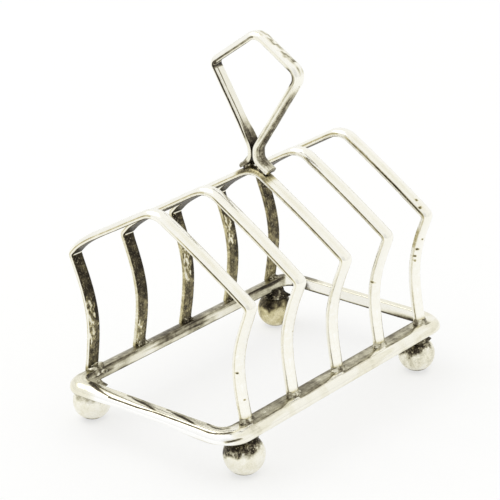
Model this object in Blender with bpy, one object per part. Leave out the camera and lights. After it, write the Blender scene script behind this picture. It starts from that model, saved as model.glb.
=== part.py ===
# Five-bar toast rack: a wire frame on four ball feet, five house-shaped arches, a kite-shaped carrying handle.
# The arches and the handle are half-round wire, flat side inwards and rounded side outwards.
# The base frame is flat inside and underneath, and rounds over from its top to its outer edge.
# Metres. +X runs along the rack, +Y across it, +Z up; the floor the feet stand on is z = 0.
import math

import bmesh
import bpy
from mathutils import Vector

# gap left between two soldered pieces
GAP = 0.0003

# ball feet
BALL_R = 0.0056
BALL_FLAT_R = 0.0012
BALL_X = 0.0384
BALL_Y = 0.0262
BALL_RINGS = 12
BALL_SIDES = 24

# base frame: sizes of the flat inner face, then the section of the wire
FRAME_HALF_L = 0.0446
FRAME_HALF_W = 0.0248
FRAME_CORNER_R = 0.0030
FRAME_HEIGHT = 0.0034
FRAME_SIDE_T = 0.0060
FRAME_END_T = 0.0040
FRAME_TOP_SHARE = 0.28
FRAME_LIP_SHARE = 0.22
FRAME_ROUND_STEPS = 8

# wire of the arches and the handle
WIRE_W = 0.0039
WIRE_T = 0.0020
SIDE_SHARE = 0.18
DOME_STEPS = 8

# arches: shape of the flat inner face, heights above the top of the base frame
ARCH_COUNT = 5
ARCH_PITCH = 0.0190
LEG_FOOT_Y = 0.0259
LEG_FOOT_SLOPE = -0.17
LEG_WAIST_Y = 0.0242
LEG_WAIST_Z = 0.0137
LEG_TOP_Y = 0.0280
LEG_TOP_Z = 0.0296
LEG_TOP_SLOPE = 0.40
SHOULDER_Y = 0.0289
SHOULDER_Z = 0.0321
SHOULDER_R = 0.0004
APEX_Z = 0.0505
APEX_R = 0.0051
LEG_STEPS = 6

# handle: shape of its flat inner face, heights above the top of the base frame
HANDLE_LEFT_FOOT_Y = 0.0040
HANDLE_RIGHT_FOOT_Y = 0.0052
HANDLE_FOOT_R = 0.0034
NECK_Z = 0.0572
NECK_R = 0.0050
KITE_HALF_W = 0.0131
KITE_LEFT_Z = 0.0774
KITE_RIGHT_Z = 0.0784
KITE_SIDE_R = 0.0009
KITE_TOP_Z = 0.0867
KITE_TOP_R = 0.0035

BALL_CENTRE_Z = math.sqrt(BALL_R ** 2 - BALL_FLAT_R ** 2)
FRAME_BOTTOM_Z = BALL_CENTRE_Z + BALL_R + GAP
FRAME_TOP_Z = FRAME_BOTTOM_Z + FRAME_HEIGHT


def clear_scene():
    for obj in list(bpy.data.objects):
        bpy.data.objects.remove(obj, do_unlink=True)


def metal(name, colour, roughness):
    mat = bpy.data.materials.new(name)
    mat.use_nodes = True
    shader = mat.node_tree.nodes["Principled BSDF"]
    shader.inputs["Base Color"].default_value = (*colour, 1.0)
    shader.inputs["Roughness"].default_value = roughness
    shader.inputs["Metallic"].default_value = 1.0
    return mat


def make_object(name, bm, mat):
    bmesh.ops.recalc_face_normals(bm, faces=bm.faces)
    mesh = bpy.data.meshes.new(name)
    bm.to_mesh(mesh)
    bm.free()
    mesh.materials.append(mat)
    mesh.shade_smooth()
    mesh.set_sharp_from_angle(angle=math.radians(35))
    obj = bpy.data.objects.new(name, mesh)
    bpy.context.scene.collection.objects.link(obj)
    return obj


def half_round():
    """Section of the wire as (share of the width, share of the thickness) pairs, flat side first."""
    points = [(-0.5, 0.0), (0.5, 0.0)]
    for step in range(DOME_STEPS + 1):
        angle = math.pi * step / DOME_STEPS
        rise = SIDE_SHARE + (1.0 - SIDE_SHARE) * math.sin(angle)
        points.append((0.5 * math.cos(angle), rise))
    return points


def round_over():
    """Section of the base frame in the same shares: flat inside and below, rounded above and outside."""
    points = [(-0.5, 0.0), (0.5, 0.0)]
    for step in range(FRAME_ROUND_STEPS + 1):
        angle = math.pi / 2.0 * step / FRAME_ROUND_STEPS
        drop = (1.0 - FRAME_LIP_SHARE) * (1.0 - math.cos(angle))
        reach = FRAME_TOP_SHARE + (1.0 - FRAME_TOP_SHARE) * math.sin(angle)
        points.append((0.5 - drop, reach))
    points.append((-0.5, 1.0))
    return points


def sweep(name, section, stations, width, mat, closed):
    """Carries a section along stations of (point, outward direction, across, thickness)."""
    bm = bmesh.new()
    rings = []
    for point, outward, across, thickness in stations:
        ring = []
        for share_w, share_t in section:
            place = point + across * (share_w * width) + outward * (share_t * thickness)
            ring.append(bm.verts.new(place))
        rings.append(ring)
    count = len(section)
    spans = list(zip(rings, rings[1:]))
    if closed:
        spans.append((rings[-1], rings[0]))
    for ring_a, ring_b in spans:
        for i in range(count):
            j = (i + 1) % count
            bm.faces.new((ring_a[i], ring_a[j], ring_b[j], ring_b[i]))
    if not closed:
        bm.faces.new(rings[0])
        bm.faces.new(list(reversed(rings[-1])))
    return make_object(name, bm, mat)


def rounded_corner(before, corner, after, radius, steps):
    """Points of the arc that replaces a corner, on the flat inner face."""
    back = (before - corner).normalized()
    ahead = (after - corner).normalized()
    half_angle = back.angle(ahead) / 2.0
    reach = radius / math.tan(half_angle)
    centre = corner + (back + ahead).normalized() * (radius / math.sin(half_angle))
    start = corner + back * reach - centre
    end = corner + ahead * reach - centre
    turn = start.angle(end)
    points = []
    for step in range(steps + 1):
        share = step / steps
        mix = start * math.sin((1.0 - share) * turn) + end * math.sin(share * turn)
        points.append(centre + mix / math.sin(turn))
    return points


def upright_stations(path, x):
    """Turns points of a path in the (y, z) plane into stations; the left of travel is outward."""
    stations = []
    for i, here in enumerate(path):
        prev = path[max(i - 1, 0)]
        nxt = path[min(i + 1, len(path) - 1)]
        if i == 0 or i == len(path) - 1:
            travel = (nxt - prev).normalized()
            reach = 1.0
        else:
            into = (here - prev).normalized()
            out = (nxt - here).normalized()
            travel = (into + out).normalized()
            reach = 1.0 / max(travel.dot(into), 0.5)
        outward = Vector((0.0, -travel.y, travel.x)) * reach
        point = Vector((x, here.x, here.y))
        stations.append((point, outward, Vector((1.0, 0.0, 0.0)), WIRE_T))
    return stations


def hermite(start, end, slope_start, slope_end, share, span):
    """Height-driven curve between two half-widths with given slopes."""
    s2 = share * share
    s3 = s2 * share
    value = (2 * s3 - 3 * s2 + 1) * start + (3 * s2 - 2 * s3) * end
    value += (s3 - 2 * s2 + share) * slope_start * span
    value += (s3 - s2) * slope_end * span
    return value


def leg_curve():
    """Half-width and height of the leg's flat face from the foot to just under the shoulder."""
    points = []
    for step in range(LEG_STEPS):
        share = step / LEG_STEPS
        y = hermite(LEG_FOOT_Y, LEG_WAIST_Y, LEG_FOOT_SLOPE, 0.0, share, LEG_WAIST_Z)
        points.append(Vector((y, share * LEG_WAIST_Z)))
    rise = LEG_TOP_Z - LEG_WAIST_Z
    for step in range(LEG_STEPS + 1):
        share = step / LEG_STEPS
        y = hermite(LEG_WAIST_Y, LEG_TOP_Y, 0.0, LEG_TOP_SLOPE, share, rise)
        points.append(Vector((y, LEG_WAIST_Z + share * rise)))
    return points


def arch_path():
    """Flat inner face of one arch, from the foot on the -Y side to the foot on the +Y side."""
    leg = leg_curve()
    leg[0].y = GAP
    apex = Vector((0.0, APEX_Z))
    shoulder = Vector((SHOULDER_Y, SHOULDER_Z))
    half = leg + rounded_corner(leg[-1], shoulder, apex, SHOULDER_R, 4)
    right = [Vector((-p.x, p.y)) for p in half]
    left = list(reversed(half))
    top = rounded_corner(Vector((-SHOULDER_Y, SHOULDER_Z)), apex, shoulder, APEX_R, 6)
    lift = Vector((0.0, FRAME_TOP_Z))
    return [p + lift for p in right + top + left]


def handle_path():
    """Flat inner face of the handle wire, from the foot on the -Y side to the foot on the +Y side."""
    slope = (APEX_Z - SHOULDER_Z) / SHOULDER_Y
    seat = APEX_Z + (WIRE_T + GAP) * math.sqrt(1.0 + slope * slope)
    strand = GAP / 2.0
    foot_bend = Vector((strand, seat - slope * strand))
    neck = Vector((strand, NECK_Z))
    top = Vector((0.0, KITE_TOP_Z))
    halves = []
    for foot_y, side_z in ((HANDLE_RIGHT_FOOT_Y, KITE_RIGHT_Z), (HANDLE_LEFT_FOOT_Y, KITE_LEFT_Z)):
        foot_end = Vector((foot_y, seat - slope * foot_y))
        side = Vector((KITE_HALF_W, side_z))
        half = [foot_end]
        half += rounded_corner(foot_end, foot_bend, neck, HANDLE_FOOT_R, 7)
        half += rounded_corner(foot_bend, neck, side, NECK_R, 5)
        half += rounded_corner(neck, side, top, KITE_SIDE_R, 5)
        halves.append(half)
    right = [Vector((-p.x, p.y)) for p in halves[0]]
    left = list(reversed(halves[1]))
    right_corner = Vector((-KITE_HALF_W, KITE_RIGHT_Z))
    left_corner = Vector((KITE_HALF_W, KITE_LEFT_Z))
    crown = rounded_corner(right_corner, top, left_corner, KITE_TOP_R, 6)
    lift = Vector((0.0, FRAME_TOP_Z))
    return [p + lift for p in right + crown + left]


def frame_stations():
    """Flat inner face of the base frame; the wire is a little stouter along the two long sides."""
    mid_z = FRAME_BOTTOM_Z + FRAME_HEIGHT / 2.0
    steps = 6
    across = Vector((0.0, 0.0, 1.0))
    stations = []
    for sign_x, sign_y, first in ((1, -1, -90), (1, 1, 0), (-1, 1, 90), (-1, -1, 180)):
        centre_x = sign_x * (FRAME_HALF_L - FRAME_CORNER_R)
        centre_y = sign_y * (FRAME_HALF_W - FRAME_CORNER_R)
        for step in range(steps + 1):
            angle = math.radians(first + 90.0 * step / steps)
            outward = Vector((math.cos(angle), math.sin(angle), 0.0))
            point = Vector((centre_x, centre_y, mid_z)) + outward * FRAME_CORNER_R
            side_share = outward.y * outward.y
            thickness = FRAME_END_T + (FRAME_SIDE_T - FRAME_END_T) * side_share
            stations.append((point, outward, across, thickness))
    return stations


def ball_foot(name, x, y, mat):
    """Solid ball with a small worn flat underneath."""
    bm = bmesh.new()
    low = math.asin(BALL_FLAT_R / BALL_R)
    rings = []
    for ring in range(BALL_RINGS):
        angle = low + (math.pi - low) * ring / BALL_RINGS
        radius = BALL_R * math.sin(angle)
        height = BALL_CENTRE_Z - BALL_R * math.cos(angle)
        loop = []
        for side in range(BALL_SIDES):
            turn = 2.0 * math.pi * side / BALL_SIDES
            place = (x + radius * math.cos(turn), y + radius * math.sin(turn), height)
            loop.append(bm.verts.new(place))
        rings.append(loop)
    top = bm.verts.new((x, y, BALL_CENTRE_Z + BALL_R))
    for lower, upper in zip(rings, rings[1:]):
        for i in range(BALL_SIDES):
            j = (i + 1) % BALL_SIDES
            bm.faces.new((lower[i], lower[j], upper[j], upper[i]))
    for i in range(BALL_SIDES):
        j = (i + 1) % BALL_SIDES
        bm.faces.new((rings[-1][i], rings[-1][j], top))
    bm.faces.new(list(reversed(rings[0])))
    return make_object(name, bm, mat)


clear_scene()

frame_silver = metal("frame_silver", (0.78, 0.75, 0.68), 0.22)
arch_silver = metal("arch_silver", (0.82, 0.80, 0.73), 0.18)
handle_silver = metal("handle_silver", (0.82, 0.79, 0.71), 0.20)
ball_silver = metal("ball_silver", (0.76, 0.73, 0.64), 0.24)

sweep("base_frame", round_over(), frame_stations(), FRAME_HEIGHT, frame_silver, True)

wire_section = half_round()
arch_points = arch_path()
for index in range(ARCH_COUNT):
    arch_x = (index - (ARCH_COUNT - 1) / 2.0) * ARCH_PITCH
    stations = upright_stations(arch_points, arch_x)
    sweep(f"arch_{index + 1}", wire_section, stations, WIRE_W, arch_silver, False)

handle_stations = upright_stations(handle_path(), 0.0)
sweep("handle", wire_section, handle_stations, WIRE_W, handle_silver, False)

for foot_name, side_x, side_y in (
    ("foot_1", -1, -1),
    ("foot_2", -1, 1),
    ("foot_3", 1, -1),
    ("foot_4", 1, 1),
):
    ball_foot(foot_name, side_x * BALL_X, side_y * BALL_Y, ball_silver)
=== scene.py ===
# Visual model of a silver toast rack: base frame, five arches, kite-shaped handle, ball feet and solder.
# Metres. +X runs along the rack, +Y across it, +Z up; the floor the feet stand on is z = 0.
import math

import bmesh
import bpy
import numpy as np
from mathutils import Matrix, Vector


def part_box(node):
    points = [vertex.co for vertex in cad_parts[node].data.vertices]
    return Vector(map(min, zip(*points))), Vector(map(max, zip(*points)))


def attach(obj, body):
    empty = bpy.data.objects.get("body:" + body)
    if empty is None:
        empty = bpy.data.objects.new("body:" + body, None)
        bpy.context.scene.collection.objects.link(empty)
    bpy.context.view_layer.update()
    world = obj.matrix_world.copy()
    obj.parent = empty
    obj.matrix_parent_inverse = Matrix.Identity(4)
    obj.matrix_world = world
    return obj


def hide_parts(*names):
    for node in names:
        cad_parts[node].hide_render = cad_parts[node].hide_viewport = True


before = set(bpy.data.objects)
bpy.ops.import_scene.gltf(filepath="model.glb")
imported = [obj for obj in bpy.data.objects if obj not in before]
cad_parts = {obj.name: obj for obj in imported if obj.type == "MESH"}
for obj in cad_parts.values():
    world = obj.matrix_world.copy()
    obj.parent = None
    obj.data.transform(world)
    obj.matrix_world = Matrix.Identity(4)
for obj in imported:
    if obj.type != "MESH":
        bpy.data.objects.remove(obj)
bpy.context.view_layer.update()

# ---------------- camera and light
CAMERA_AZIMUTH = math.radians(-50.29)
CAMERA_ELEVATION = math.radians(22.18)
CAMERA_ROLL = math.radians(-1.22)
CAMERA_DISTANCE = 0.5477
CAMERA_AIM = Vector((-0.00522, -0.00172, 0.04453))
CAMERA_LENS = 148.85
# direction from the rack to the camera
CAMERA_BACK = Vector((
    math.sin(CAMERA_AZIMUTH) * math.cos(CAMERA_ELEVATION),
    -math.cos(CAMERA_AZIMUTH) * math.cos(CAMERA_ELEVATION),
    math.sin(CAMERA_ELEVATION),
))
SENSOR_WIDTH = 36.0

WORLD_STRENGTH = 1.0
PAPER_GLOW = 0.658
PAPER_STOPS = ((0.0, (0.315, 0.315, 0.31)), (1.0, (0.325, 0.325, 0.32)))
SKY_STOPS = ((0.0, (0.90, 0.90, 0.895)), (0.35, (0.98, 0.98, 0.975)), (1.0, (1.0, 1.0, 1.0)))
KEY_PLACE = Vector((-0.25, 0.75, 1.1)).normalized() * 3.0
KEY_SIZE = 2.2
KEY_POWER = 15.0

# ---------------- shape of the wires
WIRE_W = 0.0039
WIRE_T = 0.0020
SIDE_SHARE = 0.30
EDGE_R = 0.00022
STATION = 0.00040
# the dents of hand work: spacing of the broad and the fine ones, then their depth on each kind of wire
LONG_DENT = 0.0052
SHORT_DENT = 0.0017
FRAME_DENTS = 0.000014
ARCH_DENTS = 0.000025
HANDLE_DENTS = 0.00004

# arch: flat inner face, heights above the top of the base frame
LEG_FOOT_Y = 0.0259
LEG_FOOT_SLOPE = -0.17
LEG_WAIST_Y = 0.0242
LEG_WAIST_Z = 0.0137
LEG_TOP_Y = 0.0280
LEG_TOP_Z = 0.0296
LEG_TOP_SLOPE = 0.40
SHOULDER_Y = 0.0289
SHOULDER_Z = 0.0321
SHOULDER_R = 0.0006
APEX_Z = 0.0505
APEX_R = 0.0051
LEG_SINK = 0.0006
ROOF_SLOPE = (APEX_Z - SHOULDER_Z) / SHOULDER_Y
# every arch was bent by hand: how far each shoulder stands out and up, how far the slopes swell along their
# whole length and close to the shoulder, how far the top leans
RIGHT_SHOULDER = (0.0001, -0.0002, 0.0, -0.0004, -0.0010)
LEFT_SHOULDER = (-0.0002, -0.0003, -0.0007, -0.0004, -0.0003)
LEFT_SHOULDER_LIFT = (0.0006, -0.0001, 0.0001, 0.0, 0.0)
RIGHT_BOW = (0.0003, 0.0)
LEFT_BOW = (0.0005, 0.0007)
# the +Y side of each arch stands askew along X, and its slope is twisted about the wire's own length, in
# degrees
LEFT_SKEW = (-0.0004, -0.0006, -0.0004, 0.0, -0.0004)
LEFT_TWIST = (-1.0, -6.0, -5.5, -5.0, -4.0)
ARCH_LEAN = (-0.0016, 0.0, 0.0, 0.0, 0.0)

# handle: flat inner face, heights above the top of the base frame
HANDLE_LEFT_FOOT_Y = 0.0040
HANDLE_RIGHT_FOOT_Y = 0.0045
HANDLE_FOOT_R = 0.0034
NECK_Z = 0.0572
NECK_R = 0.0050
KITE_HALF_W = 0.0131
KITE_LEFT_Z = 0.0774
KITE_RIGHT_Z = 0.0784
KITE_LEFT_R = 0.0007
KITE_RIGHT_R = 0.0022
KITE_TOP_Z = 0.0867
KITE_TOP_R = 0.0035
# the whole kite is turned, set off the middle and leaning; its +Y strand and bar are twisted, in degrees
KITE_YAW = math.radians(2.0)
HANDLE_X = 0.0003
KITE_LEAN_X = 0.0017
STRAND_TWIST = 11.0
CROWN_TWIST = 9.0
# the +Y foot was hammered thinner where it lies on the arch
FOOT_SQUASH = 0.35
STRAND_GAP = 0.00015
SOLDER_GAP = 0.0003

# base frame: flat inner face, then the section of the wire on each side
FRAME_HALF_L = 0.0446
FRAME_HALF_W = 0.0248
FRAME_CORNER_R = 0.0030
FRAME_SIDE_T = 0.0060
FRAME_END_T = 0.0040
FRAME_LIP_SHARE = 0.24
# the hand-made frame against its drawing: a shorter +X end, a slimmer +Y bar set in a little, a full -X +Y
# corner, a -Y bar and a -X bar that are less tall
FRAME_FAR_CUT = 0.0016
FRAME_LEFT_THIN = 0.0015
FRAME_CORNER_THIN = -0.0003
FRAME_LEFT_IN = 0.0006
FRAME_RIGHT_LIFT = 0.0003
FRAME_END_LIFT = 0.0007

UP = Vector((0.0, 0.0, 1.0))


# ---------------- small helpers
def smooth(low, high, value):
    """0 below low, 1 above high, smooth between; works on numbers and arrays."""
    share = np.clip((value - low) / (high - low), 0.0, 1.0)
    return share * share * (3.0 - 2.0 * share)


def darkest(*layers):
    """The darkest of several layers of tarnish, vertex by vertex."""
    return np.maximum.reduce(layers)


def lattice(ix, iy, iz, seed):
    """Repeatable value from -1 to 1 for every whole-number point of space."""
    mixed = ix * 374761393 + iy * 668265263 + iz * 2147483647 + seed * 974634777
    mixed = (mixed ^ (mixed >> 13)) * 1274126177
    mixed = mixed ^ (mixed >> 16)
    return (mixed & 0xFFFF) / 32767.5 - 1.0


def bumps(points, size, seed):
    """Smooth noise from -1 to 1 whose hills are about `size` metres apart."""
    scaled = np.asarray(points, float) / size + 1000.0
    cell = np.floor(scaled).astype(np.int64)
    part = scaled - cell
    part = part * part * (3.0 - 2.0 * part)
    total = np.zeros(len(scaled))
    for corner in range(8):
        dx, dy, dz = corner & 1, (corner >> 1) & 1, (corner >> 2) & 1
        weight = np.where(dx, part[:, 0], 1.0 - part[:, 0])
        weight = weight * np.where(dy, part[:, 1], 1.0 - part[:, 1])
        weight = weight * np.where(dz, part[:, 2], 1.0 - part[:, 2])
        total += weight * lattice(cell[:, 0] + dx, cell[:, 1] + dy, cell[:, 2] + dz, seed)
    return total


def tube_faces(rings, sides, closed=False):
    """Quads between neighbouring rings of vertices; closed joins the last ring to the first."""
    faces = []
    for ring in range(rings if closed else rings - 1):
        here, there = ring * sides, (ring + 1) % rings * sides
        for k in range(sides):
            m = (k + 1) % sides
            faces.append((here + k, here + m, there + m, there + k))
    return faces


def add_object(name, data):
    """An object in the scene's own collection."""
    obj = bpy.data.objects.new(name, data)
    bpy.context.scene.collection.objects.link(obj)
    return obj


def mesh_piece(name, verts, faces, material, attributes):
    """A mesh object that rides on the one body of the rack."""
    mesh = bpy.data.meshes.new(name)
    mesh.from_pydata([tuple(v) for v in verts], [], faces)
    for key, values in attributes.items():
        values = np.asarray(values, np.float32)
        kind = "FLOAT_VECTOR" if values.ndim == 2 else "FLOAT"
        layer = mesh.attributes.new(key, kind, "POINT")
        layer.data.foreach_set("vector" if values.ndim == 2 else "value", values.ravel())
    bm = bmesh.new()
    bm.from_mesh(mesh)
    bmesh.ops.recalc_face_normals(bm, faces=bm.faces)
    bm.to_mesh(mesh)
    bm.free()
    mesh.shade_smooth()
    mesh.materials.append(material)
    piece = add_object(name, mesh)
    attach(piece, "root")
    return piece


# ---------------- paths
def rounded_corner(before, corner, after, radius, steps):
    """Points of the arc that replaces a corner."""
    back = (before - corner).normalized()
    ahead = (after - corner).normalized()
    half_angle = back.angle(ahead) / 2.0
    reach = radius / math.tan(half_angle)
    centre = corner + (back + ahead).normalized() * (radius / math.sin(half_angle))
    start = corner + back * reach - centre
    end = corner + ahead * reach - centre
    turn = start.angle(end)
    points = []
    for share in np.arange(steps + 1) / steps:
        mix = start * math.sin((1.0 - share) * turn) + end * math.sin(share * turn)
        points.append(centre + mix / math.sin(turn))
    return points


def hermite(start, end, leave, arrive, share):
    """Point at a share of the curve from start to end with the given directions at its ends."""
    s2, s3 = share * share, share ** 3
    value = start * (2 * s3 - 3 * s2 + 1) + end * (3 * s2 - 2 * s3)
    return value + leave * (s3 - 2 * s2 + share) + arrive * (s3 - s2)


def bowed(start, end, bow, steps):
    """Points between two places on a shallow curve that swells outwards; both ends are left out.

    bow holds two swellings: one even along the whole length, one crowded towards the start."""
    along = end - start
    outward = Vector((-along.y, along.x)).normalized()
    if outward.y < 0.0:
        outward = -outward
    points = []
    for step in range(1, steps):
        share = step / steps
        swell = bow[0] * 4.0 * share * (1.0 - share) + bow[1] * 12.2 * share * (1.0 - share) ** 4
        points.append(start.lerp(end, share) + outward * swell)
    return points


def leg_curve():
    """Half-width and height of the leg's flat face from the foot to just under the shoulder."""
    steps = 30
    rise = LEG_TOP_Z - LEG_WAIST_Z
    points = [Vector((LEG_FOOT_Y - LEG_FOOT_SLOPE * LEG_SINK, -LEG_SINK))]
    for share in np.arange(steps) / steps:
        y = hermite(LEG_FOOT_Y, LEG_WAIST_Y, LEG_FOOT_SLOPE * LEG_WAIST_Z, 0.0, share)
        points.append(Vector((y, share * LEG_WAIST_Z)))
    for share in np.arange(steps + 1) / steps:
        y = hermite(LEG_WAIST_Y, LEG_TOP_Y, 0.0, LEG_TOP_SLOPE * rise, share)
        points.append(Vector((y, LEG_WAIST_Z + share * rise)))
    return points


def half_arch(shoulder_out, shoulder_lift, bow):
    """One leg, its shoulder and its slope up to the apex arc; y is the half-width."""
    shoulder = Vector((SHOULDER_Y + shoulder_out, SHOULDER_Z + shoulder_lift))
    leg = []
    for point in leg_curve():
        share = float(smooth(LEG_WAIST_Z * 0.6, SHOULDER_Z, point.y))
        leg.append(Vector((point.x + shoulder_out * share, point.y + shoulder_lift * share)))
    # the apex arc is cut into a corner whose sides already carry the bow
    apex = Vector((0.0, APEX_Z))
    slope_end = apex - (apex - shoulder).normalized() * (APEX_R * ROOF_SLOPE)
    slope = bowed(shoulder, slope_end, bow, 24)
    corner = rounded_corner(leg[-1], shoulder, slope[1], SHOULDER_R, 14)
    return leg + corner + slope[1:], slope_end


def arch_path(index):
    """Flat inner face of one arch, from the foot on the -Y side to the foot on the +Y side."""
    right, right_end = half_arch(RIGHT_SHOULDER[index], 0.0, RIGHT_BOW)
    left, left_end = half_arch(LEFT_SHOULDER[index], LEFT_SHOULDER_LIFT[index], LEFT_BOW)
    right = [Vector((-p.x, p.y)) for p in right]
    right_end = Vector((-right_end.x, right_end.y))
    # a smooth arc over the top that leaves and meets both slopes in their own direction
    pull = (left_end - right_end).length * 1.02
    leave = (right_end - right[-1]).normalized() * pull
    arrive = (left[-1] - left_end).normalized() * pull
    top = [hermite(right_end, left_end, leave, arrive, step / 26.0) for step in range(27)]
    return right + top + left[::-1]


def handle_path():
    """Flat inner face of the handle wire, from the foot on the -Y side to the foot on the +Y side."""
    seat = APEX_Z + (WIRE_T + SOLDER_GAP) * math.sqrt(1.0 + ROOF_SLOPE * ROOF_SLOPE)
    foot_bend = Vector((STRAND_GAP, seat - ROOF_SLOPE * STRAND_GAP))
    neck = Vector((STRAND_GAP, NECK_Z))
    top = Vector((0.0, KITE_TOP_Z))
    halves = []
    for sign, foot_y, side_z, side_r in (
        (-1.0, HANDLE_RIGHT_FOOT_Y, KITE_RIGHT_Z, KITE_RIGHT_R),
        (1.0, HANDLE_LEFT_FOOT_Y, KITE_LEFT_Z, KITE_LEFT_R),
    ):
        foot_end = Vector((foot_y, seat - ROOF_SLOPE * foot_y))
        side = Vector((KITE_HALF_W, side_z))
        half = [foot_end] + rounded_corner(foot_end, foot_bend, neck, HANDLE_FOOT_R, 16)
        half += rounded_corner(foot_bend, neck, side, NECK_R, 14)
        half += rounded_corner(neck, side, top, side_r, 16)
        halves.append([Vector((sign * p.x, p.y)) for p in half])
    corners = Vector((-KITE_HALF_W, KITE_RIGHT_Z)), Vector((KITE_HALF_W, KITE_LEFT_Z))
    return halves[0] + rounded_corner(corners[0], top, corners[1], KITE_TOP_R, 18) + halves[1][::-1]


def fill_gaps(path, spacing):
    """Adds evenly spaced points to the straight stretches of a path."""
    filled = [path[0]]
    for here, there in zip(path, path[1:]):
        parts = max(1, int(math.ceil((there - here).length / spacing)))
        for part in range(1, parts + 1):
            filled.append(here.lerp(there, part / parts))
    return filled


def upright_stations(path, x):
    """Stations of an upright wire whose path holds (y, height above the frame); left of travel is outward.

    Gives points, outward and across directions, and the path's own coordinates."""
    points, outwards = [], []
    for i, here in enumerate(path):
        travel = (path[min(i + 1, len(path) - 1)] - path[max(i - 1, 0)]).normalized()
        points.append((x, here.x, here.y + FRAME_TOP))
        outwards.append((0.0, -travel.y, travel.x))
    points = np.array(points)
    acrosses = np.tile(np.array([[1.0, 0.0, 0.0]]), (len(points), 1))
    track = np.stack([points[:, 1], points[:, 2] - FRAME_TOP], axis=1)
    return points, np.array(outwards), acrosses, track


def twisted(acrosses, outwards, turn):
    """Both directions turned about the wire's own length; turn is in radians."""
    cos, sin = np.cos(turn), np.sin(turn)
    return acrosses * cos + outwards * sin, outwards * cos - acrosses * sin


# ---------------- section and sweep
DOME_ANGLES = (0, 4, 9, 16, 26, 39, 55, 72, 90, 108, 125, 141, 154, 164, 171, 176, 180)


def softened(corner_x, corner_y, radius, first_angle, steps=3):
    """Quarter turn that takes the sharpness off an outside corner; corner_* is the arc's centre."""
    angles = [math.radians(first_angle + 90.0 * step / steps) for step in range(steps + 1)]
    return [(corner_x + radius * math.cos(a), corner_y + radius * math.sin(a)) for a in angles]


def dee_section(width, thickness):
    """Half-round section: (across, outward) points, flat side first, with softened edges."""
    r = EDGE_R
    half = width / 2.0
    points = [(-half + r * 1.7, 0.0)]
    points += [(half * place, 0.0) for place in (-0.74, -0.66, -0.56, -0.3, 0.0, 0.3, 0.6)]
    points.append((half - r * 1.7, 0.0))
    points += softened(half - r, r, r, -90.0)
    for degrees in DOME_ANGLES:
        angle = math.radians(degrees)
        rise = SIDE_SHARE + (1.0 - SIDE_SHARE) * max(0.0, math.sin(angle)) ** 0.9
        points.append((half * math.cos(angle), rise * thickness))
    points += softened(-half + r, r, r, 180.0)
    return points


FLAT_SHARES = (0.10, 0.20, 0.30, 0.42, 0.56, 0.70, 0.85)


def rail_section(height, thickness, top_share, lift):
    """Base-frame section: flat inside and underneath, rounding over from its top to a low outer lip.

    lift raises the underside, for the places where the bar was filed thinner."""
    r = EDGE_R * 1.3
    half = height / 2.0
    low = -half + lift
    points = [(low + r * 1.7, 0.0)]
    points += [(low + r * 1.7 + (half - low - r * 3.4) * share, 0.0) for share in FLAT_SHARES]
    points.append((half - r * 1.7, 0.0))
    points += softened(half - r, r, r, -90.0)
    flat = top_share * thickness
    points.append((half, flat * 0.5))
    lip = FRAME_LIP_SHARE * (half - low)
    for step in range(25):
        angle = math.pi / 2.0 * step / 24.0
        across = half - (half - low - lip) * (1.0 - math.cos(angle))
        points.append((across, flat + (thickness - flat) * math.sin(angle)))
    soft = lip * 0.9
    points += softened(low + soft, thickness - soft, soft, 90.0, 4)[1:]
    points.append((low, thickness * 0.5))
    points += softened(low + r, r, r, 180.0)
    return points


def sweep(name, stations, sections, closed, material, paint, rough, seed, rub=None):
    """Carries a section along a path and paints the result.

    stations holds points, outward and across directions, and a track: two flat coordinates per
    station, which paint uses to know where it is.
    sections gives one list of (across, outward) points per station, all of one length.
    rough is how deep the dents are.
    paint(track, side, rise, rest) gives the tarnish of every vertex, from 0 to 1, with a few painted
    highlights and a painted reflection mixed in; rub, with the same arguments, tells where flakes of that
    tarnish are rubbed off."""
    points, outwards, acrosses, track = stations
    count = len(points)
    size = len(sections[0])
    steps = np.linalg.norm(np.diff(points, axis=0), axis=1)
    run = np.concatenate([[0.0], np.cumsum(steps)])
    sect = np.array(sections)
    across = sect[:, :, 0]
    out = sect[:, :, 1]
    places = points[:, None, :] + acrosses[:, None, :] * across[..., None]
    places = places + outwards[:, None, :] * out[..., None]
    rest = np.stack([np.repeat(run[:, None], size, 1), across, out], axis=2).reshape(-1, 3)
    widest = across.max(axis=1, keepdims=True)
    deepest = out.max(axis=1, keepdims=True)
    side = (across / widest).ravel()
    rise = (out / deepest).ravel()
    verts = places.reshape(-1, 3)
    dents = bumps(rest + seed, LONG_DENT, seed) * rough
    dents = dents + bumps(rest + seed, SHORT_DENT, seed + 1) * rough * 0.35
    push = (out - deepest * 0.35) / deepest
    normal = outwards[:, None, :] * push[..., None] + acrosses[:, None, :] * (across / widest)[..., None]
    normal = normal.reshape(-1, 3)
    normal /= np.linalg.norm(normal, axis=1, keepdims=True) + 1e-9
    verts = verts + normal * dents[:, None]
    faces = tube_faces(count, size, closed)
    everywhere = np.repeat(np.asarray(track), size, axis=0)
    grime_and_painted_light = paint(everywhere, side, rise, rest)
    worn = rub(everywhere, side, rise, rest) if rub else np.zeros(len(rest))
    if not closed:
        verts, rest, grime_and_painted_light, faces = close_ends(verts, rest, grime_and_painted_light, faces, count, size)
        worn = np.concatenate([worn, np.zeros(len(rest) - len(worn))])
    attributes = {"rest_wire": rest, "grime_and_painted_light": np.clip(grime_and_painted_light, 0.0, 1.0), "worn": worn}
    return mesh_piece(name, verts, faces, material, attributes)


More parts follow.
